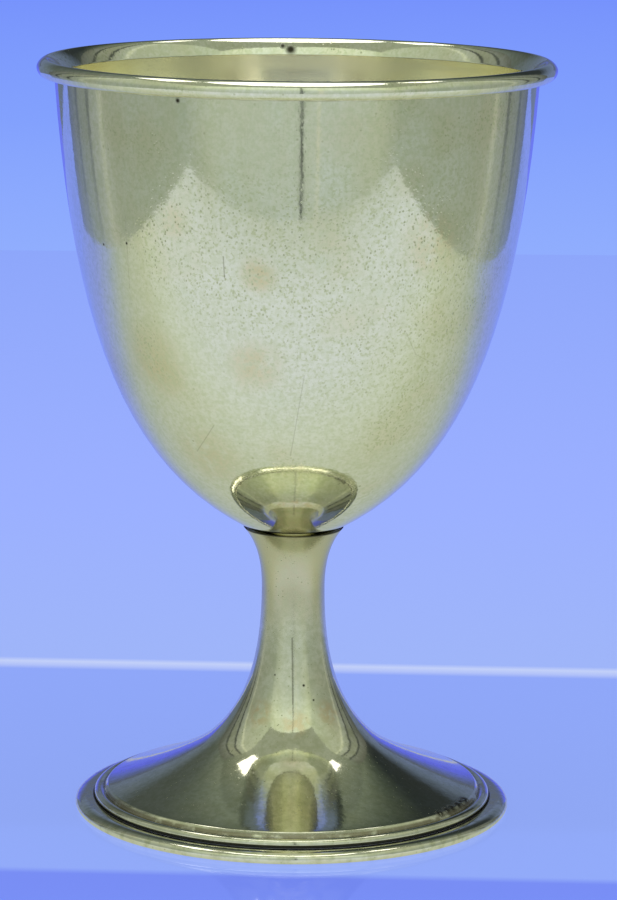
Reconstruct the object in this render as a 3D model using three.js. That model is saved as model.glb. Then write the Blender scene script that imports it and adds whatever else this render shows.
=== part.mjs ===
// A silver kiddush cup that stands on its own foot: a deep bowl with a rounded lip, a hollow
// trumpet-shaped stem and foot, and a flat ring under the foot's edge. All three are turned
// shapes, so each one is a lathe profile. Sizes are in millimetres and +Z is up.

import * as THREE from "three";

// The whole cup
const HEIGHT = 127;
const WALL = 0.6; // thickness of the sheet silver
const SEAM = 0.3; // space between two pieces that meet
const SEGMENTS = 56;

// The lip
const LIP_RADIUS = 42.9; // widest point of the cup
const LIP_BEAD = 1.5; // radius of the lip's rounded edge
const LIP_UNDERCUT = 2.9; // how far below the top the wall begins

// The bowl's outside, from the joint with the stem up to the lip
const JOINT_RADIUS = 8.4;
const JOINT_HEIGHT = 48.6;
const JOINT_SLOPE = THREE.MathUtils.degToRad(28.4);
const BOWL_BOTTOM_REACH = 22.3; // how far the joint's slope carries up the bowl
const BOWL_SIDE_RADIUS = 37;
const BOWL_SIDE_HEIGHT = 81;
const BOWL_WALL_RADIUS = 40;

// The stem, from its collar under the bowl down to the waist
const COLLAR_SLOPE = THREE.MathUtils.degToRad(49);
const COLLAR_REACH = 4;
const WAIST_RADIUS = 5.3;
const WAIST_HEIGHT = 37.7;
const WAIST_REACH_UP = 3.5; // how far the waist's upright line carries up the stem
const WAIST_REACH_DOWN = 15.9;

// The flare, from the waist down to the foot's edge
const FLARE_RADIUS = 13.7;
const FLARE_HEIGHT = 12.3;
const FLARE_SLOPE = THREE.MathUtils.degToRad(43.8);
const FLARE_REACH = 5.3;
const SKIRT_RADIUS = 31;
const SKIRT_HEIGHT = 4;
const SKIRT_SLOPE = THREE.MathUtils.degToRad(17.5);
const SKIRT_REACH = 3;

// The moulded edge of the foot and the ring below it
const CREASE_RADIUS = 31.9;
const CREASE_HEIGHT = 3.15;
const EDGE_RADIUS = 33.6;
const EDGE_LIP_HEIGHT = 0.2; // upright part of the edge, below its bead
const EDGE_BEAD_WIDTH = 0.9;
const EDGE_BEAD_HEIGHT = 0.8;
const RING_HEIGHT = 1.9;
const RING_RADIUS = 36.8;
const RING_INNER_RADIUS = 32.4;
const RING_FLAT_RADIUS = 36.2; // outer radius of the face that the cup stands on
const RING_NOSE_HEIGHT = 0.8; // height of the ring's widest point

const at = (radius, height) => new THREE.Vector2(radius, height);

// A point reached from another by going a length at a slope, outwards and up for positive values
function from(point, length, slope) {
  return at(point.x + length * Math.cos(slope), point.y + length * Math.sin(slope));
}

function arc(centre, acrossRadius, upRadius, startDegrees, endDegrees, steps) {
  const points = [];
  for (let i = 0; i <= steps; i += 1) {
    const turn = THREE.MathUtils.degToRad(startDegrees + ((endDegrees - startDegrees) * i) / steps);
    points.push(at(centre.x + acrossRadius * Math.cos(turn), centre.y + upRadius * Math.sin(turn)));
  }
  return points;
}

// The far side of the sheet: the curve's points moved to its left by a distance
function leftOf(curve, distance, steps) {
  const points = [];
  for (let i = 0; i <= steps; i += 1) {
    const along = curve.getTangent(i / steps);
    const point = curve.getPoint(i / steps);
    points.push(at(point.x - along.y * distance, point.y + along.x * distance));
  }
  return points;
}

function turned(name, profile, material) {
  const geometry = new THREE.LatheGeometry(profile, SEGMENTS);
  geometry.rotateX(Math.PI / 2);
  const mesh = new THREE.Mesh(geometry, material);
  mesh.name = name;
  return mesh;
}

function silver(colour, roughness) {
  return new THREE.MeshStandardMaterial({ color: colour, roughness, metalness: 1 });
}

// Bowl: a closed, rounded bottom, a side that grows steeper up to the wall, and the lip
function bowlProfile() {
  const joint = at(JOINT_RADIUS, JOINT_HEIGHT);
  const side = new THREE.CubicBezierCurve(
    joint,
    from(joint, BOWL_BOTTOM_REACH, JOINT_SLOPE),
    at(BOWL_SIDE_RADIUS, BOWL_SIDE_HEIGHT),
    at(BOWL_WALL_RADIUS, HEIGHT - LIP_UNDERCUT),
  );
  const bottomRadius = JOINT_RADIUS / Math.sin(JOINT_SLOPE);
  const bottomCentre = at(0, JOINT_HEIGHT + bottomRadius * Math.cos(JOINT_SLOPE));
  const jointTurn = -90 + THREE.MathUtils.radToDeg(JOINT_SLOPE);
  const insideRadius = bottomRadius - WALL;
  const lipCentre = at(LIP_RADIUS - LIP_BEAD, HEIGHT - LIP_BEAD);
  return [
    ...arc(bottomCentre, bottomRadius, bottomRadius, -90, jointTurn, 3),
    ...side.getPoints(12).slice(1),
    ...arc(lipCentre, LIP_BEAD, LIP_BEAD, -90, 120, 7),
    ...leftOf(side, WALL, 12).reverse(),
    ...arc(bottomCentre, insideRadius, insideRadius, jointTurn, -90, 3).slice(1),
  ];
}

// Stem and foot: one hollow piece, open at both ends, with a stepped edge at the bottom
function stemAndFootProfile() {
  const skirtEnd = at(SKIRT_RADIUS, SKIRT_HEIGHT);
  const flare = at(FLARE_RADIUS, FLARE_HEIGHT);
  const waist = at(WAIST_RADIUS, WAIST_HEIGHT);
  const gapBelowBowl = SEAM / Math.cos(JOINT_SLOPE);
  const collar = at(JOINT_RADIUS, JOINT_HEIGHT - gapBelowBowl);
  const skirt = new THREE.CubicBezierCurve(
    skirtEnd,
    from(skirtEnd, -SKIRT_REACH, -SKIRT_SLOPE),
    from(flare, FLARE_REACH, -FLARE_SLOPE),
    flare,
  );
  const stem = new THREE.CubicBezierCurve(
    flare,
    from(flare, -FLARE_REACH, -FLARE_SLOPE),
    at(WAIST_RADIUS, WAIST_HEIGHT - WAIST_REACH_DOWN),
    waist,
  );
  const neck = new THREE.CubicBezierCurve(
    waist,
    at(WAIST_RADIUS, WAIST_HEIGHT + WAIST_REACH_UP),
    from(collar, -COLLAR_REACH, COLLAR_SLOPE),
    collar,
  );
  const underside = RING_HEIGHT + SEAM;
  const bead = at(EDGE_RADIUS - EDGE_BEAD_WIDTH, underside + EDGE_LIP_HEIGHT);
  return [
    at(SKIRT_RADIUS, underside),
    at(EDGE_RADIUS, underside),
    ...arc(bead, EDGE_BEAD_WIDTH, EDGE_BEAD_HEIGHT, 0, 90, 3),
    at(CREASE_RADIUS, CREASE_HEIGHT),
    ...skirt.getPoints(5),
    ...stem.getPoints(7).slice(1),
    ...neck.getPoints(5).slice(1),
    from(collar, -WALL, JOINT_SLOPE),
    ...leftOf(neck, WALL, 4).reverse().slice(1),
    ...leftOf(stem, WALL, 6).reverse().slice(1),
    ...leftOf(skirt, WALL, 5).reverse().slice(1),
    at(SKIRT_RADIUS, underside),
  ];
}

// Foot ring: a flat ring with a rounded outer edge, which carries the whole cup
function footRingProfile() {
  const nose = at(RING_RADIUS - 1.8, RING_NOSE_HEIGHT);
  return [
    at(RING_INNER_RADIUS, 0),
    at(RING_FLAT_RADIUS, 0),
    ...arc(nose, 1.8, RING_HEIGHT - RING_NOSE_HEIGHT, 0, 90, 4),
    at(RING_INNER_RADIUS, RING_HEIGHT),
    at(RING_INNER_RADIUS, 0),
  ];
}

const cup = new THREE.Group();
cup.add(
  turned("bowl", bowlProfile(), silver(0xd6d6c4, 0.14)),
  turned("stem_and_foot", stemAndFootProfile(), silver(0xcfcfba, 0.15)),
  turned("foot_ring", footRingProfile(), silver(0xc6c6b2, 0.2)),
);

export default cup;
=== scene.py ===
import math

import bpy
from mathutils import Matrix, Vector


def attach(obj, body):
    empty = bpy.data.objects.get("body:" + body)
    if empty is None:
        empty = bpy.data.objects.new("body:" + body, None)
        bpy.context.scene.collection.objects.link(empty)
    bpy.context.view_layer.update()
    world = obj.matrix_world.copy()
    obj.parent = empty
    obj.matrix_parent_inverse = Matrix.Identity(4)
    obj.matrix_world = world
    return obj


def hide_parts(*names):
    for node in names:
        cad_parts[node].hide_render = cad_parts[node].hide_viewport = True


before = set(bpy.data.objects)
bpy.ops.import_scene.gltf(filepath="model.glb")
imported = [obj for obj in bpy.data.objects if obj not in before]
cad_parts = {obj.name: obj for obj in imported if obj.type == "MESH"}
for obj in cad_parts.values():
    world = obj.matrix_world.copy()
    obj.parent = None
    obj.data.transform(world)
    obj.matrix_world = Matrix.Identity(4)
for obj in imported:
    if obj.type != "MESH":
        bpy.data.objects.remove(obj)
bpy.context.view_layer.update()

mm = 0.001

# CAMERA
# A long lens a little above the lip, looking slightly down at the whole cup. It is turned a
# fraction of a degree about its own axis, because the view isn't quite level.
camera_place = Vector((0, -636 * mm, 182 * mm))
camera_lens = 154.2
camera_sensor = 36
nearest_seen = 10 * mm
camera_pan = math.radians(0.215)
camera_tilt = math.radians(10.744)
camera_roll = math.radians(0.501)

bpy.ops.object.camera_add(location=camera_place)
camera = bpy.context.object
camera.name = "camera"
camera.data.lens = camera_lens
camera.data.sensor_width = camera_sensor
camera.data.clip_start = nearest_seen
camera.matrix_world = (
    Matrix.Translation(camera_place)
    @ Matrix.Rotation(-camera_pan, 4, "Z")
    @ Matrix.Rotation(math.radians(90) - camera_tilt, 4, "X")
    @ Matrix.Rotation(camera_roll, 4, "Z")
)
bpy.context.scene.camera = camera

# BOWL
# One piece of sheet silver, spun to a deep cup with a closed round bottom. Its wall ends in a
# lip that is turned out and rounded over. The polished outside is lightly toned and specked,
# and a thin gilt wash makes the inside warmer.
height = 127 * mm
wall = 0.6 * mm
lip_radius = 42.9 * mm
lip_bead = 1.5 * mm
lip_shoulder = 0.66 * mm
joint_radius = 8.4 * mm
joint_height = 48.6 * mm
joint_slope = math.radians(28.4)
wall_slope = math.radians(86)


def polar(length, angle):
    """A step of this length along a slope of the outline."""
    return Vector((length * math.cos(angle), 0, length * math.sin(angle)))


def at(radius, up):
    """A place on the outline: distance from the cup's axis, and height."""
    return Vector((radius, 0, up))


def quarter(radius):
    """Handle length that makes a Bezier stretch follow a quarter of a circle."""
    return 0.5523 * radius


outline_steps = 20
lathe_steps = 256
weld_distance = 0.004 * mm
sharp_edge = math.radians(25)


def turned(name, knots, closed):
    """A piece turned on a lathe. A knot is its point, then the handles before and after it."""
    bpy.ops.object.select_all(action="DESELECT")
    bpy.ops.curve.primitive_bezier_curve_add()
    outline = bpy.context.object
    outline.name = name
    outline.data.resolution_u = outline_steps
    spline = outline.data.splines[0]
    spline.bezier_points.add(len(knots) - 2)
    for point, (place, before, after) in zip(spline.bezier_points, knots):
        point.handle_left_type = point.handle_right_type = "FREE"
        point.co = place
        point.handle_left = place + before
        point.handle_right = place + after
    spline.use_cyclic_u = closed
    bpy.ops.object.convert(target="MESH")
    bpy.ops.object.mode_set(mode="EDIT")
    bpy.ops.mesh.select_all(action="SELECT")
    bpy.ops.mesh.spin(steps=lathe_steps, angle=math.radians(360), center=(0, 0, 0), axis=(0, 0, 1))
    bpy.ops.mesh.select_all(action="SELECT")
    bpy.ops.mesh.remove_doubles(threshold=weld_distance)
    bpy.ops.mesh.normals_make_consistent(inside=False)
    bpy.ops.object.mode_set(mode="OBJECT")
    bpy.ops.object.shade_smooth_by_angle(angle=sharp_edge)
    return outline


none = Vector((0, 0, 0))
bottom_radius = joint_radius / math.sin(joint_slope)
bottom_arc = 4 / 3 * math.tan(joint_slope / 4) * bottom_radius
bottom = at(0, joint_height - bottom_radius * (1 - math.cos(joint_slope)))
joint = at(joint_radius, joint_height)
wall_top = at(40 * mm, height - 2.9 * mm)
lip_centre = at(lip_radius - lip_bead, height - lip_bead)
inward = math.radians(90)
# From the middle of the bottom up the outside, over the lip and down the inside again.
bowl_knots = [
    (bottom, none, polar(bottom_arc, 0)),
    (joint, polar(-bottom_arc, joint_slope), polar(22.3 * mm, joint_slope)),
    (wall_top, polar(-43.2 * mm, wall_slope), none),
    (lip_centre + at(0, -lip_bead), none, polar(quarter(lip_bead), 0)),
    (lip_centre + at(lip_bead, 0), at(0, -quarter(lip_bead)), at(0, lip_shoulder)),
    (lip_centre + at(0, lip_bead), at(lip_shoulder, 0), at(-0.7 * mm, 0)),
    (
        wall_top + polar(wall, wall_slope + inward) + at(0, 0.1 * mm),
        polar(1.2 * mm, math.radians(66)),
        none,
    ),
    (wall_top + polar(wall, wall_slope + inward), none, polar(-42.6 * mm, wall_slope)),
    (
        joint + polar(wall, joint_slope + inward),
        polar(21.9 * mm, joint_slope),
        polar(-bottom_arc, joint_slope),
    ),
    (bottom + at(0, wall), polar(bottom_arc, 0), none),
]
bowl = turned("spun_bowl", bowl_knots, closed=False)


def start_silver(name, colour, roughness):
    """A polished metal, ready for layers of tone, wear and marks to be laid over it."""
    material = bpy.data.materials.new(name)
    material.use_nodes = True
    nodes = material.node_tree.nodes
    shader = nodes["Principled BSDF"]
    shader.inputs["Metallic"].default_value = 1
    return {
        "material": material,
        "nodes": nodes,
        "links": material.node_tree.links,
        "shader": shader,
        "place": nodes.new("ShaderNodeTexCoord").outputs["Object"],
        "colour": (*colour, 1),
        "roughness": roughness,
        "normal": None,
    }


def mapped(finish, stretch=(1, 1, 1), turn=(0, 0, 0), shift=(0, 0, 0)):
    """The piece's own coordinates, stretched and turned to lay a pattern another way."""
    mapping = finish["nodes"].new("ShaderNodeMapping")
    mapping.inputs["Scale"].default_value = stretch
    mapping.inputs["Rotation"].default_value = [math.radians(a) for a in turn]
    mapping.inputs["Location"].default_value = shift
    finish["links"].new(finish["place"], mapping.inputs["Vector"])
    return mapping.outputs[0]


def ramp(finish, value, low, high):
    """0 where the value is at low, 1 where it is at high, and smooth between them."""
    step = finish["nodes"].new("ShaderNodeMapRange")
    step.interpolation_type = "SMOOTHSTEP"
    step.inputs["From Min"].default_value = low
    step.inputs["From Max"].default_value = high
    finish["links"].new(value, step.inputs["Value"])
    return step.outputs[0]


def clouds(finish, size, low, high, where=None, detail=3):
    """Soft patches of about this size."""
    noise = finish["nodes"].new("ShaderNodeTexNoise")
    noise.inputs["Scale"].default_value = 1 / size
    noise.inputs["Detail"].default_value = detail
    finish["links"].new(where or finish["place"], noise.inputs["Vector"])
    return ramp(finish, noise.outputs["Fac"], low, high)


def dots(finish, spacing, radius, where=None):
    """Small round spots scattered about this far apart, each with a soft edge."""
    cells = finish["nodes"].new("ShaderNodeTexVoronoi")
    cells.inputs["Scale"].default_value = 1 / spacing
    finish["links"].new(where or finish["place"], cells.inputs["Vector"])
    return ramp(finish, cells.outputs["Distance"], radius / spacing, 0.5 * radius / spacing)


def hairlines(finish, size, width, where):
    """Long thin lines that wander along the stretch of the coordinates they are given."""
    noise = finish["nodes"].new("ShaderNodeTexNoise")
    noise.inputs["Scale"].default_value = 1 / size
    noise.inputs["Detail"].default_value = 1
    finish["links"].new(where, noise.inputs["Vector"])
    off = finish["nodes"].new("ShaderNodeMath")
    off.operation = "SUBTRACT"
    off.inputs[1].default_value = 0.5
    finish["links"].new(noise.outputs["Fac"], off.inputs[0])
    size_of = finish["nodes"].new("ShaderNodeMath")
    size_of.operation = "ABSOLUTE"
    finish["links"].new(off.outputs[0], size_of.inputs[0])
    return ramp(finish, size_of.outputs[0], width, 0.3 * width)


def near(finish, spot, radius, where=None):
    """1 at the spot, fading to 0 at this distance from it."""
    away = finish["nodes"].new("ShaderNodeVectorMath")
    away.operation = "DISTANCE"
    away.inputs[1].default_value = spot
    finish["links"].new(where or finish["place"], away.inputs[0])
    return ramp(finish, away.outputs["Value"], radius, 0.2 * radius)


def along(finish, axis):
    """One coordinate of the piece, in metres."""
    split = finish["nodes"].new("ShaderNodeSeparateXYZ")
    finish["links"].new(finish["place"], split.inputs[0])
    return split.outputs[axis]


def set_or_link(finish, socket, value):
    """Give a socket the output of another node, or a plain number or colour."""
    if isinstance(value, bpy.types.NodeSocket):
        finish["links"].new(value, socket)
    else:
        socket.default_value = value


def combined(finish, operation, first, second):
    """Two masks, or a mask and a number, put together by one sum and kept between 0 and 1."""
    total = finish["nodes"].new("ShaderNodeMath")
    total.operation = operation
    total.use_clamp = True
    set_or_link(finish, total.inputs[0], first)
    set_or_link(finish, total.inputs[1], second)
    return total.outputs[0]


def overlap(finish, first, second):
    """White only where both masks are. A number in place of a mask makes the other weaker."""
    return combined(finish, "MULTIPLY", first, second)


def joined(finish, first, second):
    """White where either mask is."""
    return combined(finish, "ADD", first, second)


def streak(finish, start, end, width):
    """A thin mark between two places, seen from the front: places are across and up."""
    links = finish["links"]
    flat_place = mapped(finish, stretch=(1, 0, 1))
    first = Vector((start[0], 0, start[1]))
    way = Vector((end[0], 0, end[1])) - first
    from_start = finish["nodes"].new("ShaderNodeVectorMath")
    from_start.operation = "SUBTRACT"
    from_start.inputs[1].default_value = first
    links.new(flat_place, from_start.inputs[0])
    run = finish["nodes"].new("ShaderNodeVectorMath")
    run.operation = "DOT_PRODUCT"
    run.inputs[1].default_value = way / way.length_squared
    links.new(from_start.outputs[0], run.inputs[0])
    part = finish["nodes"].new("ShaderNodeClamp")
    links.new(run.outputs["Value"], part.inputs["Value"])
    foot_of = finish["nodes"].new("ShaderNodeVectorMath")
    foot_of.operation = "SCALE"
    foot_of.inputs[0].default_value = way
    links.new(part.outputs[0], foot_of.inputs["Scale"])
    away = finish["nodes"].new("ShaderNodeVectorMath")
    away.operation = "DISTANCE"
    links.new(from_start.outputs[0], away.inputs[0])
    links.new(foot_of.outputs[0], away.inputs[1])
    line = ramp(finish, away.outputs["Value"], width, 0.3 * width)
    in_front = ramp(finish, along(finish, "Y"), 0, -2 * mm)
    return overlap(finish, line, in_front)


def lay(finish, mask, strength=1, colour=None, roughness=None, depth=None):
    """Lay a tone, a polish or a relief over the finish wherever the mask is white."""
    nodes = finish["nodes"]
    links = finish["links"]
    if strength != 1:
        mask = overlap(finish, mask, strength)
    if colour:
        mix = nodes.new("ShaderNodeMix")
        mix.data_type = "RGBA"
        links.new(mask, mix.inputs[0])
        set_or_link(finish, mix.inputs[6], finish["colour"])
        mix.inputs[7].default_value = (*colour, 1)
        finish["colour"] = mix.outputs[2]
    if roughness:
        mix = nodes.new("ShaderNodeMix")
        links.new(mask, mix.inputs[0])
        set_or_link(finish, mix.inputs[2], finish["roughness"])
        mix.inputs[3].default_value = roughness
        finish["roughness"] = mix.outputs[0]
    if depth:
        bump = nodes.new("ShaderNodeBump")
        bump.inputs["Distance"].default_value = abs(depth)
        bump.invert = depth < 0
        links.new(mask, bump.inputs["Height"])
        if finish["normal"]:
            links.new(finish["normal"], bump.inputs["Normal"])
        finish["normal"] = bump.outputs[0]


def finished(finish):
    """Join the layers to the shader and give back the material."""
    shader = finish["shader"]
    set_or_link(finish, shader.inputs["Base Color"], finish["colour"])
    set_or_link(finish, shader.inputs["Roughness"], finish["roughness"])
    if finish["normal"]:
        finish["links"].new(finish["normal"], shader.inputs["Normal"])
    return finish["material"]


silver_tone = (0.92, 0.91, 0.78)
pale_green_tone = (0.82, 0.85, 0.68)
warm_tone = (0.87, 0.82, 0.62)
brown_tone = (0.78, 0.65, 0.37)
# The next tone is a painted reflection: the stem and foot mirrored low on the front of the bowl.
painted_foot_reflection_tone = (0.88, 0.72, 0.57)
yellow_tone = (0.86, 0.86, 0.66)
drift_tone = (0.84, 0.80, 0.58)
mottle_tone = (0.76, 0.78, 0.56)
fleck_tone = (0.64, 0.66, 0.40)
grain_tone = (0.70, 0.73, 0.52)
hairline_tone = (0.62, 0.63, 0.46)
scratch_tone = (0.25, 0.24, 0.16)
pit_tone = (0.52, 0.53, 0.34)
lip_join_brown_tone = (0.32, 0.24, 0.10)
dirt_tone = (0.05, 0.045, 0.03)

outside = start_silver("bowl_silver", silver_tone, 0.05)
lay(outside, clouds(outside, 14 * mm, 0.48, 0.72), colour=warm_tone)
lay(outside, clouds(outside, 4 * mm, 0.50, 0.85), colour=pale_green_tone)
# Painted reflection: a warm patch low on the front of the bowl, where the stem and foot are mirrored.
lay(outside, near(outside, (0, -14 * mm, 53 * mm), 10 * mm), 0.5, colour=painted_foot_reflection_tone)

# Brown toning in patches: place, reach and strength of each.
brown_clouds = (
    ((-5.8 * mm, -36.1 * mm, 96 * mm), 4.2 * mm, 0.8),
    ((-23 * mm, -24 * mm, 80 * mm), 9 * mm, 0.6),
    ((-6.5 * mm, -32.5 * mm, 81 * mm), 6 * mm, 0.65),
    ((22 * mm, -31 * mm, 100.5 * mm), 8 * mm, 0.8),
    ((-19.5 * mm, -32.7 * mm, 104 * mm), 4 * mm, 0.8),
    ((-14 * mm, -21 * mm, 64 * mm), 8 * mm, 0.5),
    ((18 * mm, -34 * mm, 111 * mm), 5 * mm, 0.3),
    ((8 * mm, -39 * mm, 119 * mm), 7 * mm, 0.3),
)
broken = clouds(outside, 2.5 * mm, 0.20, 0.55)
for spot, reach, strength in brown_clouds:
    lay(outside, overlap(outside, near(outside, spot, reach), broken), strength, colour=brown_tone)

yellow_areas = (
    ((-24 * mm, -28 * mm, 92 * mm), 22 * mm),
    ((21 * mm, -31 * mm, 90 * mm), 20 * mm),
    ((12 * mm, -24 * mm, 66 * mm), 16 * mm),
)
patchy = clouds(outside, 5 * mm, 0.32, 0.60)
for spot, reach in yellow_areas:
    lay(outside, overlap(outside, near(outside, spot, reach), patchy), 0.5, colour=yellow_tone)

# Upright drifts of tone on the upper wall, and a fine mottle all over.
drifts = clouds(outside, 6 * mm, 0.45, 0.68, where=mapped(outside, stretch=(1, 1, 0.3)))
upper_wall = ramp(outside, along(outside, "Z"), 95 * mm, 108 * mm)
lay(outside, overlap(outside, drifts, upper_wall), 0.6, colour=drift_tone)
lay(outside, clouds(outside, 0.9 * mm, 0.40, 0.66, detail=4), 0.6, colour=mottle_tone)

# Pits and flecks, thick in two areas of the front and here and there elsewhere.
speck_right = near(outside, (13 * mm, -32 * mm, 93 * mm), 34 * mm)
speck_left = near(outside, (-13 * mm, -35 * mm, 100 * mm), 20 * mm)
speck_area = joined(outside, speck_right, speck_left)
speck_area = joined(outside, speck_area, clouds(outside, 14 * mm, 0.5, 0.75, detail=1))
speck_area = overlap(outside, speck_area, clouds(outside, 3 * mm, 0.28, 0.50))
small_specks = dots(outside, 0.75 * mm, 0.20 * mm, where=mapped(outside, stretch=(1, 1, 0.8)))
small_specks = overlap(outside, small_specks, speck_area)
lay(outside, small_specks, 0.8, colour=pit_tone)
lay(outside, small_specks, roughness=0.3, depth=-0.012 * mm)
flecks = clouds(outside, 0.5 * mm, 0.57, 0.64, detail=1)
lay(outside, overlap(outside, flecks, speck_area), 0.75, colour=fleck_tone)
shifted = mapped(outside, shift=(31 * mm, 17 * mm, 5 * mm))
few_specks = dots(outside, 2.1 * mm, 0.26 * mm, where=shifted)
few_specks = overlap(outside, few_specks, clouds(outside, 9 * mm, 0.42, 0.6, detail=1))
lay(outside, few_specks, 0.7, colour=pit_tone, roughness=0.4)

# Grain, uneven polish, slight waves left by the spinning, and hairlines rubbed both ways.
lay(outside, clouds(outside, 0.5 * mm, 0.35, 0.75, detail=2), 0.4, colour=grain_tone)
lay(outside, clouds(outside, 7 * mm, 0.40, 0.80), roughness=0.11)
lay(outside, clouds(outside, 1.6 * mm, 0.3, 0.8, detail=2), depth=0.0035 * mm)
rubbed = mapped(outside, stretch=(1, 1, 0.06), turn=(12, -18, 0))
hairs = hairlines(outside, 1.1 * mm, 0.012, rubbed)
lay(outside, hairs, 0.16, colour=hairline_tone, roughness=0.2)
rubbed_across = mapped(outside, stretch=(0.06, 0.06, 1), turn=(8, 22, 0))
more_hairs = hairlines(outside, 1.3 * mm, 0.010, rubbed_across)
lay(outside, more_hairs, 0.12, colour=hairline_tone)

# Longer scratches on the front: start, end, width and strength of each.
scratches = (
    ((-11.4 * mm, 98.8 * mm), (-11.2 * mm, 95.4 * mm), 0.15 * mm, 0.5),
    ((17.7 * mm, 86 * mm), (19.3 * mm, 82.2 * mm), 0.12 * mm, 0.2),
    ((19.3 * mm, 82.2 * mm), (23.1 * mm, 79.6 * mm), 0.12 * mm, 0.15),
    ((1.5 * mm, 79.5 * mm), (-0.6 * mm, 65.3 * mm), 0.13 * mm, 0.25),
    ((-13 * mm, 70 * mm), (-15.8 * mm, 64.8 * mm), 0.14 * mm, 0.28),
    ((-27.2 * mm, 104 * mm), (-26.6 * mm, 92 * mm), 0.12 * mm, 0.16),
)
for start, end, width, strength in scratches:
    lay(outside, streak(outside, start, end, width), strength, colour=scratch_tone, roughness=0.3)

# Dark dots on the wall and the lip, and a brown line under the lip.
spots = (
    ((-18.6 * mm, -35.3 * mm, 123.3 * mm), 0.6 * mm),
    ((-30.9 * mm, -20.4 * mm, 98.6 * mm), 0.35 * mm),
    ((-27.0 * mm, -25.6 * mm, 99.5 * mm), 0.35 * mm),
    ((-1.2 * mm, 39.8 * mm, 125.1 * mm), 1.3 * mm),
    ((-2.6 * mm, 40.2 * mm, 125.6 * mm), 0.8 * mm),
    ((-10.5 * mm, -41.9 * mm, 124.6 * mm), 0.5 * mm),
    ((1.5 * mm, -40.6 * mm, 124.2 * mm), 0.8 * mm),
    ((6 * mm, -40.4 * mm, 124.1 * mm), 0.5 * mm),
)
for spot, reach in spots:
    lay(outside, near(outside, spot, reach), colour=dirt_tone, roughness=0.5)
level_only = mapped(outside, stretch=(0, 0, 1))
under_lip = near(outside, (0, 0, height - 3 * mm), 0.35 * mm, where=level_only)
under_lip = overlap(outside, under_lip, clouds(outside, 3 * mm, 0.35, 0.6))
lay(outside, under_lip, 0.55, colour=lip_join_brown_tone, roughness=0.3)
bowl.data.materials.append(finished(outside))

gilt_tone = (0.98, 0.95, 0.75)
gilt_cloud_tone = (0.93, 0.86, 0.62)
gilt_rubbed_tone = (0.92, 0.87, 0.66)

inside = start_silver("gilt_wash", gilt_tone, 0.12)
lay(inside, clouds(inside, 8 * mm, 0.40, 0.75), colour=gilt_cloud_tone)
inner_rubbed = clouds(inside, 2 * mm, 0.4, 0.7, where=mapped(inside, stretch=(0.08, 0.08, 1)))
lay(inside, inner_rubbed, roughness=0.2, colour=gilt_rubbed_tone)
lay(inside, dots(inside, 1.6 * mm, 0.2 * mm), 0.5, colour=pit_tone, roughness=0.35)
bowl.data.materials.append(finished(inside))

# Only the faces inside the bowl, below the lip, take the gilt.
bpy.ops.object.mode_set(mode="EDIT")
bpy.ops.mesh.select_all(action="DESELECT")
bpy.ops.object.mode_set(mode="OBJECT")
gilt_top = height - 2.8 * mm
for face in bowl.data.polygons:
    towards_axis = face.normal.x * face.center.x + face.normal.y * face.center.y
    deep = face.center.z < joint_height + 2 * mm and face.normal.z > 0
    face.select = face.center.z < gilt_top and (towards_axis < 0 or deep)
bowl.active_material_index = 1
bpy.ops.object.mode_set(mode="EDIT")
bpy.ops.object.material_slot_assign()
bpy.ops.object.mode_set(mode="OBJECT")

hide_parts("bowl")
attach(bowl, "root")

# STEM AND FOOT
# A second spun piece, hollow and open underneath. A small flared collar is soldered under the
# bowl, the stem narrows to a waist and then opens like a trumpet into a wide skirt, and the
# skirt ends in a crease and a small bead.
seam = 0.3 * mm
waist_radius = 5.3 * mm
waist_height = 37.7 * mm
flare_slope = math.radians(-43.8)
skirt_slope = math.radians(-17.5)
collar_slope = math.radians(49)
skirt_end = at(31 * mm, 4 * mm)
flare = at(13.7 * mm, 12.3 * mm)
waist = at(waist_radius, waist_height)
collar = at(joint_radius, joint_height - seam / math.cos(joint_slope))
edge_radius = 33.6 * mm
underside = 2.2 * mm
bead_width = 0.9 * mm
bead_height = 0.8 * mm
bead_top = underside + 0.2 * mm + bead_height
to_inside = math.radians(90)
# From under the bead round the edge, up the outside to the collar and down the inside.
foot_knots = [
    (at(31.3 * mm, underside), none, none),
    (at(edge_radius - 0.1 * mm, underside), none, at(quarter(0.1 * mm), 0)),
    (at(edge_radius, underside + 0.1 * mm), at(0, -quarter(0.1 * mm)), none),
    (at(edge_radius, bead_top - bead_height), none, at(0, quarter(bead_height))),
    (at(edge_radius - bead_width, bead_top), at(quarter(bead_width), 0), at(-0.3 * mm, 0)),
    (at(31.95 * mm, 3.05 * mm), at(0.2 * mm, -0.04 * mm), at(-0.03 * mm, 0.2 * mm)),
    (at(31.35 * mm, 3.85 * mm), at(0.25 * mm, -0.25 * mm), at(-0.12 * mm, 0.1 * mm)),
    (skirt_end, polar(0.1 * mm, skirt_slope), polar(-3 * mm, skirt_slope)),
    (flare, polar(5.3 * mm, flare_slope), polar(-5.3 * mm, flare_slope)),
    (waist, at(0, -15.9 * mm), at(0, 3.5 * mm)),
    (collar, polar(-4 * mm, collar_slope), none),
    (collar + polar(-wall, joint_slope), none, polar(-3.6 * mm, collar_slope)),
    (waist + at(-wall, 0), at(0, 3.5 * mm), at(0, -15.9 * mm)),
    (
        flare + polar(-wall, flare_slope + to_inside),
        polar(-5.4 * mm, flare_slope),
        polar(5.4 * mm, flare_slope),
    ),
    (
        skirt_end + polar(-wall, skirt_slope + to_inside),
        polar(-3 * mm, skirt_slope),
        at(0.3 * mm, -0.1 * mm),
    ),
]
foot = turned("spun_stem_and_foot", foot_knots, closed=True)


def outward(finish):
    """Distance from the cup's axis, in metres."""
    level = mapped(finish, stretch=(1, 1, 0))
    length = finish["nodes"].new("ShaderNodeVectorMath")
    length.operation = "LENGTH"
    finish["links"].new(level, length.inputs[0])
    return length.outputs["Value"]


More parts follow.
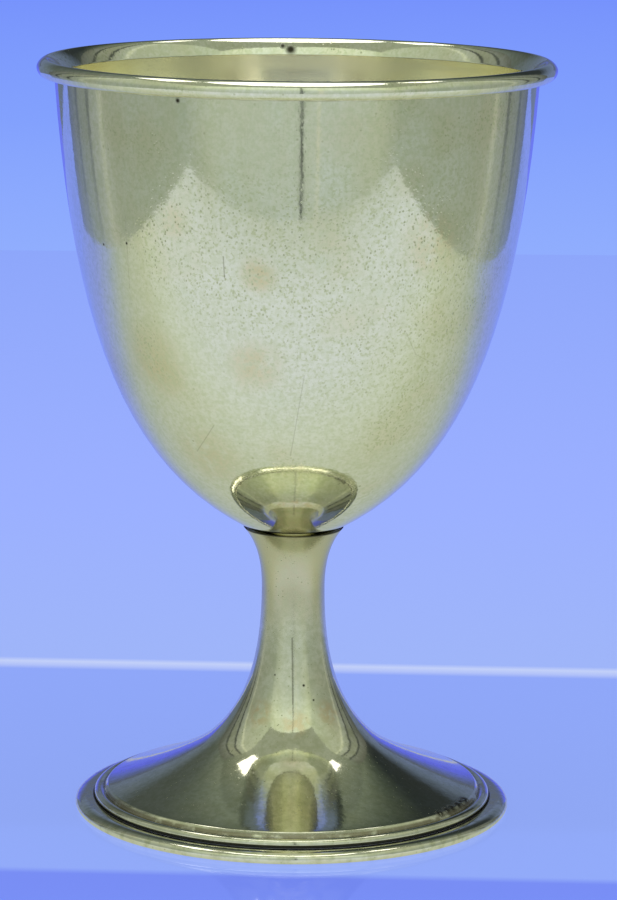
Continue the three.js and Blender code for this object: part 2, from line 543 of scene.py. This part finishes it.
foot_tone = (0.86, 0.84, 0.68)
dull_tone = (0.70, 0.69, 0.50)
foot_grain_tone = (0.60, 0.62, 0.44)
stem_top_tone = (0.66, 0.61, 0.42)
stem_mottle_tone = (0.66, 0.66, 0.46)
stem_line_tone = (0.15, 0.14, 0.09)
# The next tone is a painted reflection of the walls around the cup, laid on the front of the flare.
flare_reflection_tone = (0.74, 0.58, 0.36)
crease_tone = (0.16, 0.12, 0.06)

foot_silver = start_silver("foot_silver", foot_tone, 0.07)
foot_up = along(foot_silver, "Z")
foot_out = outward(foot_silver)
lay(foot_silver, clouds(foot_silver, 7 * mm, 0.42, 0.72), colour=warm_tone)
lay(foot_silver, clouds(foot_silver, 2.5 * mm, 0.45, 0.8), colour=dull_tone, roughness=0.12)
lay(foot_silver, clouds(foot_silver, 0.5 * mm, 0.3, 0.75, detail=2), 0.3, colour=foot_grain_tone)
lay(foot_silver, clouds(foot_silver, 1.5 * mm, 0.3, 0.8, detail=2), depth=0.004 * mm)

# The upper stem is duller and browner than the foot.
lay(foot_silver, ramp(foot_silver, foot_up, 31 * mm, 38 * mm), 0.8, colour=stem_top_tone)
lay(foot_silver, ramp(foot_silver, foot_up, 22 * mm, 32 * mm), roughness=0.24)
lay(foot_silver, clouds(foot_silver, 0.9 * mm, 0.40, 0.66, detail=4), 0.55, colour=stem_mottle_tone)
stem_specks = dots(foot_silver, 0.9 * mm, 0.17 * mm)
stem_specks = overlap(foot_silver, stem_specks, clouds(foot_silver, 4 * mm, 0.35, 0.6))
lay(foot_silver, stem_specks, 0.9, colour=pit_tone, roughness=0.4)
stem_line = streak(foot_silver, (-0.1 * mm, 30.2 * mm), (0.1 * mm, 19.5 * mm), 0.2 * mm)
lay(foot_silver, stem_line, 0.55, colour=stem_line_tone, roughness=0.3)

# Painted reflection: warm patches on the front of the flare below the waist, where the walls around
# the cup are mirrored.
flare_reflection_spots = (
    (-5.5 * mm, -7.7 * mm, 17.6 * mm),
    (6.4 * mm, -7.4 * mm, 17.9 * mm),
    (0.5 * mm, -10 * mm, 16.5 * mm),
)
blotchy = clouds(foot_silver, 1.2 * mm, 0.35, 0.6)
for spot in flare_reflection_spots:
    flare_reflection_patch = overlap(foot_silver, near(foot_silver, spot, 3.4 * mm), blotchy)
    lay(foot_silver, flare_reflection_patch, 0.7, colour=flare_reflection_tone)
stem_dots = (
    ((1.9 * mm, -7.1 * mm, 22.4 * mm), 0.35 * mm),
    ((3.6 * mm, -7.5 * mm, 20 * mm), 0.3 * mm),
    ((-3 * mm, -6.3 * mm, 24 * mm), 0.3 * mm),
    ((-5.6 * mm, -6.2 * mm, 44.6 * mm), 0.35 * mm),
)
for spot, reach in stem_dots:
    lay(foot_silver, near(foot_silver, spot, reach), colour=dirt_tone, roughness=0.5)

# Dirt caught at the right of the crease, in the crease all round, under the bead and in the
# solder line at the top.
caught_radius = 31.2 * mm
caught_height = 3.9 * mm
crumbly = clouds(foot_silver, 0.8 * mm, 0.36, 0.5)
for bearing in (52, 56, 59, 63, 66, 69):
    around = math.radians(bearing)
    spot = (caught_radius * math.sin(around), -caught_radius * math.cos(around), caught_height)
    caught = overlap(foot_silver, near(foot_silver, spot, 1.5 * mm), crumbly)
    lay(foot_silver, caught, colour=dirt_tone, roughness=0.5)
crease_inner = ramp(foot_silver, foot_out, 31.45 * mm, 31.75 * mm)
crease_outer = ramp(foot_silver, foot_out, 32.3 * mm, 32.0 * mm)
crease = overlap(foot_silver, crease_inner, crease_outer)
crease = overlap(foot_silver, crease, clouds(foot_silver, 3 * mm, 0.3, 0.5))
lay(foot_silver, crease, 0.7, colour=crease_tone, roughness=0.4)
bead_low = ramp(foot_silver, foot_up, 2.42 * mm, 2.24 * mm)
bead_outer = ramp(foot_silver, foot_out, 32.8 * mm, 33 * mm)
lay(foot_silver, overlap(foot_silver, bead_low, bead_outer), colour=dirt_tone, roughness=0.6)
solder_line = ramp(foot_silver, foot_up, joint_height - 0.75 * mm, joint_height - 0.4 * mm)
lay(foot_silver, solder_line, colour=dirt_tone, roughness=0.6)
foot.data.materials.append(finished(foot_silver))
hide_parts("stem_and_foot")
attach(foot, "root")

# FOOT RING
# A flat ring with a rounded outer edge, soldered on under the foot's bead. It carries the whole
# cup, and dirt has filled the groove between the two.
ring_radius = 36.8 * mm
ring_flat_radius = 36.2 * mm
ring_inner_radius = 32.4 * mm
ring_height = 1.9 * mm
ring_nose = 0.8 * mm
ring_shoulder = 1.8 * mm
ring_knots = [
    (at(ring_inner_radius, 0), none, none),
    (at(ring_flat_radius, 0), none, at(0.35 * mm, 0)),
    (at(ring_radius, ring_nose), at(0, -0.4 * mm), at(0, quarter(ring_height - ring_nose))),
    (at(ring_radius - ring_shoulder, ring_height), at(quarter(ring_shoulder), 0), none),
    (at(ring_inner_radius, ring_height), none, none),
]
ring = turned("foot_ring_wire", ring_knots, closed=True)

ring_tone = (0.86, 0.85, 0.69)
ring_dull_tone = (0.64, 0.64, 0.44)

ring_silver = start_silver("ring_silver", ring_tone, 0.07)
lay(ring_silver, clouds(ring_silver, 5 * mm, 0.42, 0.75), colour=warm_tone)
lay(ring_silver, clouds(ring_silver, 1.5 * mm, 0.4, 0.75), colour=ring_dull_tone, roughness=0.18)
lay(ring_silver, dots(ring_silver, 1.2 * mm, 0.2 * mm), 0.6, colour=pit_tone, roughness=0.4)
groove_inside = ramp(ring_silver, outward(ring_silver), 34.0 * mm, 33.7 * mm)
groove_top = ramp(ring_silver, along(ring_silver, "Z"), 1.4 * mm, 1.6 * mm)
lay(ring_silver, overlap(ring_silver, groove_inside, groove_top), colour=dirt_tone, roughness=0.6)
ring.data.materials.append(finished(ring_silver))
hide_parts("foot_ring")
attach(ring, "root")

# STAGE
# A pale blue floor, and round the cup a light tent that only shows in the polish: a white base,
# cloth walls with their seams, a ceiling with two bright windows, a blue cloth behind and the dim
# room above that. The tent is hidden from the camera and casts no shadow. Places in the bands
# of colour are in metres.
tent_left = -446 * mm
tent_right = 416 * mm
tent_front = -403 * mm
tent_back = 480 * mm
tent_bottom = -50 * mm
tent_height = 690 * mm
floor_end = 0.69
floor_width = 12
floor_depth = 6
far_depth = 5.3
lying_flat = (0, 0, 0)
upright = (math.radians(90), 0, 0)
sideways = (math.radians(90), 0, math.radians(90))


def glow(name):
    """A material that shines by itself."""
    material = bpy.data.materials.new(name)
    material.use_nodes = True
    nodes = material.node_tree.nodes
    nodes.clear()
    light = nodes.new("ShaderNodeEmission")
    output = nodes.new("ShaderNodeOutputMaterial")
    material.node_tree.links.new(light.outputs[0], output.inputs["Surface"])
    return material


def shine(material, colour):
    """Give a glowing material the colour that it shines in."""
    light = material.node_tree.nodes["Emission"]
    material.node_tree.links.new(colour, light.inputs["Color"])


def bands(material, axis, stops, slant=0.0):
    """A colour that changes along one coordinate: each stop is a place in metres and a colour."""
    nodes = material.node_tree.nodes
    links = material.node_tree.links
    split = nodes.new("ShaderNodeSeparateXYZ")
    links.new(nodes.new("ShaderNodeTexCoord").outputs["Object"], split.inputs[0])
    leaning = nodes.new("ShaderNodeMath")
    leaning.operation = "MULTIPLY_ADD"
    leaning.inputs[1].default_value = slant
    links.new(split.outputs["X"], leaning.inputs[0])
    links.new(split.outputs[axis], leaning.inputs[2])
    first, last = stops[0][0], stops[-1][0]
    reach = nodes.new("ShaderNodeMapRange")
    reach.inputs["From Min"].default_value = first
    reach.inputs["From Max"].default_value = last
    links.new(leaning.outputs[0], reach.inputs["Value"])
    colours = nodes.new("ShaderNodeValToRGB")
    painted = colours.color_ramp.elements
    for place, colour in stops[1:-1]:
        painted.new((place - first) / (last - first)).color = (*colour, 1)
    painted[0].color = (*stops[0][1], 1)
    painted[-1].color = (*stops[-1][1], 1)
    links.new(reach.outputs[0], colours.inputs[0])
    return colours.outputs[0]


def blend_colours(material, how, first, second, amount=None):
    """Two colours put together, the second in full where no amount is given."""
    mix = material.node_tree.nodes.new("ShaderNodeMix")
    mix.data_type = "RGBA"
    mix.blend_type = how
    mix.inputs[0].default_value = 1
    links = material.node_tree.links
    if amount:
        links.new(amount, mix.inputs[0])
    links.new(first, mix.inputs[6])
    links.new(second, mix.inputs[7])
    return mix.outputs[2]


def flat(name, width, depth, place, turn, material, in_polish=True):
    """A flat sheet of the stage, with its place in its mesh."""
    bpy.ops.object.select_all(action="DESELECT")
    bpy.ops.mesh.primitive_plane_add(size=1, location=place, rotation=turn)
    sheet = bpy.context.object
    sheet.name = name
    sheet.scale = (width, depth, 1)
    bpy.ops.object.transform_apply(location=True, rotation=True, scale=True)
    sheet.data.materials.append(material)
    if in_polish:
        sheet.visible_camera = False
        sheet.visible_diffuse = False
        sheet.visible_shadow = False
        sheet.visible_transmission = False
    return sheet


floor_paint = glow("floor_paint")
floor_front = (0.19, 0.27, 0.95)
floor_near = (0.30, 0.42, 1.0)
floor_line = (0.62, 0.71, 1.0)
floor_far = (0.385, 0.51, 1.0)
floor_stops = (
    (-0.1, (0.20, 0.29, 0.95)),
    (-0.048, floor_front),
    (-0.0425, floor_front),
    (-0.041, floor_near),
    (0.0925, floor_near),
    (0.0945, floor_line),
    (0.0975, floor_line),
    (0.100, floor_far),
    (0.30, floor_far),
    (0.7, (0.345, 0.505, 1.0)),
)
floor_colour = bands(floor_paint, "Y", floor_stops, slant=0.045)
nodes = floor_paint.node_tree.nodes
links = floor_paint.node_tree.links
shine(floor_paint, floor_colour)
floor_glow = nodes["Emission"]
floor_glow.inputs["Strength"].default_value = 1.25
matt = nodes.new("ShaderNodeBsdfDiffuse")
links.new(floor_colour, matt.inputs["Color"])
lit = nodes.new("ShaderNodeMixShader")
lit.inputs[0].default_value = 0.25
links.new(floor_glow.outputs[0], lit.inputs[1])
links.new(matt.outputs[0], lit.inputs[2])
sheen = nodes.new("ShaderNodeBsdfGlossy")
sheen.inputs["Roughness"].default_value = 0.03
edge_on = nodes.new("ShaderNodeFresnel")
edge_on.inputs["IOR"].default_value = 1.32
glossy = nodes.new("ShaderNodeMixShader")
links.new(edge_on.outputs[0], glossy.inputs[0])
links.new(lit.outputs[0], glossy.inputs[1])
links.new(sheen.outputs[0], glossy.inputs[2])
links.new(glossy.outputs[0], nodes["Material Output"].inputs["Surface"])
floor_place = (0, floor_end - floor_depth / 2, 0)
floor = flat("floor", floor_width, floor_depth, floor_place, lying_flat, floor_paint, in_polish=False)
floor.visible_glossy = False

# The base darkens from the front towards the back. Around the cup's place the darkening is a painted
# shadow of the cup, seen in the polish.
base_paint = glow("tent_base_paint")
base_with_cup_shadow = bands(
    base_paint,
    "Y",
    (
        (-0.40, (0.54, 0.60, 0.56)),
        (-0.25, (0.66, 0.72, 0.75)),
        (-0.15, (0.66, 0.72, 0.75)),
        (-0.08, (0.62, 0.68, 0.62)),
        (-0.03, (0.55, 0.60, 0.50)),
        (0.05, (0.49, 0.54, 0.47)),
        (0.12, (0.42, 0.48, 0.50)),
        (0.20, (0.34, 0.41, 0.68)),
        (0.32, (0.28, 0.35, 0.85)),
        (0.60, (0.24, 0.33, 1.0)),
    ),
)
shine(base_paint, base_with_cup_shadow)
flat("tent_base", 3, 3, (0, 0, tent_bottom), lying_flat, base_paint)

cloth = (0.56, 0.64, 0.60)
cloth_edge = (0.42, 0.48, 0.41)
# A lighter stripe on the front cloth is a painted highlight along a fold.
fold_highlight = (0.65, 0.70, 0.62)
seam_dark = (0.06, 0.07, 0.07)
rising = (
    (-0.05, (0.86, 0.86, 0.88)),
    (0.20, (1, 1, 1)),
    (0.42, (1.35, 1.33, 1.2)),
    (0.7, (1.45, 1.43, 1.28)),
)
front_paint = glow("tent_front_paint")
front_across = bands(
    front_paint,
    "X",
    (
        (-0.45, cloth_edge),
        (-0.30, (0.53, 0.60, 0.52)),
        (-0.08, cloth),
        (0.010, cloth),
        (0.013, seam_dark),
        (0.019, seam_dark),
        (0.022, cloth),
        (0.062, cloth),
        (0.065, fold_highlight),
        (0.072, fold_highlight),
        (0.076, cloth),
        (0.12, cloth),
        (0.30, (0.53, 0.60, 0.51)),
        (0.42, cloth_edge),
    ),
)
front_up = bands(front_paint, "Z", rising)
front_cloth = blend_colours(front_paint, "MULTIPLY", front_across, front_up)
shine(front_paint, front_cloth)
tent_middle = (tent_left + tent_right) / 2
tent_width = tent_right - tent_left
wall_tall = tent_height - tent_bottom
wall_level = (tent_height + tent_bottom) / 2
front_corners = (
    ("tent_front_left", tent_left, -352 * mm),
    ("tent_front_right", tent_right, -384 * mm),
)
for name, x, corner in front_corners:
    run = Vector((x, corner - tent_front))
    turn = (math.radians(90), 0, math.atan2(run.y, run.x))
    place = (x / 2, (tent_front + corner) / 2, wall_level)
    flat(name, run.length, wall_tall, place, turn, front_paint)

side_paint = glow("tent_side_paint")
side_near = (0.33, 0.37, 0.32)
side_dim = (0.21, 0.235, 0.21)
side_along = bands(
    side_paint,
    "Y",
    (
        (-0.37, (0.38, 0.44, 0.38)),
        (0.04, side_near),
        (0.095, side_near),
        (0.105, (0.46, 0.50, 0.43)),
        (0.12, (0.44, 0.48, 0.42)),
        (0.135, (0.30, 0.34, 0.31)),
        (0.19, (0.28, 0.31, 0.29)),
        (0.20, seam_dark),
        (0.215, seam_dark),
        (0.225, side_dim),
        (0.31, side_dim),
        (0.32, seam_dark),
        (0.34, seam_dark),
        (0.35, (0.16, 0.18, 0.18)),
        (0.48, (0.09, 0.10, 0.10)),
    ),
)
side_up = bands(side_paint, "Z", rising)
side_cloth = blend_colours(side_paint, "MULTIPLY", side_along, side_up)
side_foot = bands(
    side_paint,
    "Y",
    (
        (-0.37, (0.38, 0.44, 0.38)),
        (0.04, (0.36, 0.41, 0.36)),
        (0.105, (0.44, 0.48, 0.44)),
        (0.25, (0.30, 0.36, 0.44)),
        (0.48, (0.20, 0.27, 0.62)),
    ),
)
side_low = bands(
    side_paint,
    "Z",
    ((-0.05, (0.8, 0.8, 0.8)), (0.01, (0.5, 0.5, 0.5)), (0.09, (0, 0, 0))),
)
side_colour = blend_colours(side_paint, "MIX", side_cloth, side_foot, side_low)
shine(side_paint, side_colour)
side_length = tent_back - tent_front
side_middle = (tent_back + tent_front) / 2
for name, x in (("tent_side_left", tent_left), ("tent_side_right", tent_right)):
    flat(name, side_length, wall_tall, (x, side_middle, wall_level), sideways, side_paint)

ceiling_paint = glow("tent_ceiling_paint")
ceiling_bright = (0.34, 0.38, 0.30)
ceiling_dim = (0.14, 0.17, 0.14)
ceiling_stops = ((-0.40, ceiling_bright), (0.10, ceiling_bright), (tent_back, ceiling_dim))
ceiling_along = bands(ceiling_paint, "Y", ceiling_stops)
shine(ceiling_paint, ceiling_along)
ceiling_place = (tent_middle, side_middle, tent_height)
flat("tent_ceiling", tent_width, side_length, ceiling_place, lying_flat, ceiling_paint)

window_paint = glow("ceiling_window_paint")
window_glow = window_paint.node_tree.nodes["Emission"]
window_glow.inputs["Color"].default_value = (1, 1, 0.97, 1)
window_glow.inputs["Strength"].default_value = 2.5
under_ceiling = tent_height - 3 * mm
flat("window_left", 0.12, 0.24, (-0.282, 0.185, under_ceiling), lying_flat, window_paint)
flat("window_right", 0.10, 0.12, (0.257, 0.197, under_ceiling), lying_flat, window_paint)

blue_paint = glow("blue_cloth_paint")
blue_up = bands(
    blue_paint,
    "Z",
    (
        (0.0, (0.17, 0.22, 1.0)),
        (0.09, (0.13, 0.16, 0.95)),
        (0.15, (0.12, 0.16, 0.5)),
        (0.21, (0.1, 0.12, 0.13)),
    ),
)
shine(blue_paint, blue_up)
flat("blue_cloth", 0.62, 0.21, (0, 0.7, 0.105), upright, blue_paint)

# The floor goes on behind the blue cloth without its gloss.
far_paint = glow("far_floor_paint")
far_along = bands(
    far_paint,
    "Y",
    ((0.69, (0.28, 0.42, 0.99)), (1.13, (0.225, 0.355, 0.985)), (1.99, (0.18, 0.285, 0.975))),
)
shine(far_paint, far_along)
far_place = (0, floor_end + far_depth / 2, 0)
far_floor = flat("far_floor", floor_width, far_depth, far_place, lying_flat, far_paint)
far_floor.visible_camera = True
far_floor.visible_glossy = False

room_paint = glow("dim_room_paint")
room_up = bands(
    room_paint,
    "Z",
    (
        (0.2, (0.16, 0.21, 0.40)),
        (0.32, (0.12, 0.16, 0.26)),
        (0.43, (0.030, 0.037, 0.042)),
        (0.62, (0.026, 0.034, 0.038)),
        (0.8, (0.07, 0.09, 0.075)),
        (1.1, (0.20, 0.24, 0.19)),
    ),
)
room_across = bands(
    room_paint,
    "X",
    (
        (-1.1, (1, 1, 1)),
        (-0.25, (0.3, 0.3, 0.3)),
        (0.0, (0, 0, 0)),
        (0.5, (0, 0, 0)),
        (1.4, (1, 1, 1)),
    ),
)
room_side = bands(room_paint, "Z", ((0.0, (0.12, 0.15, 0.15)), (1.0, (0.22, 0.26, 0.23))))
room_colour = blend_colours(room_paint, "MIX", room_up, room_side, amount=room_across)
shine(room_paint, room_colour)
flat("dim_room", 6, 2.4, (0, 0.75, 1.2), upright, room_paint)

bpy.ops.object.light_add(type="AREA", location=(0, 0, under_ceiling))
lamp = bpy.context.object
lamp.name = "overhead_lamp"
lamp.data.shape = "DISK"
lamp.data.size = 0.42
lamp.data.energy = 0.84

world = bpy.data.worlds.new("soft_room")
bpy.context.scene.world = world
world.use_nodes = True
air = world.node_tree.nodes["Background"]
air.inputs["Color"].default_value = (0.62, 0.66, 0.70, 1)
air.inputs["Strength"].default_value = 0.8

bpy.context.scene.view_settings.view_transform = "Standard"
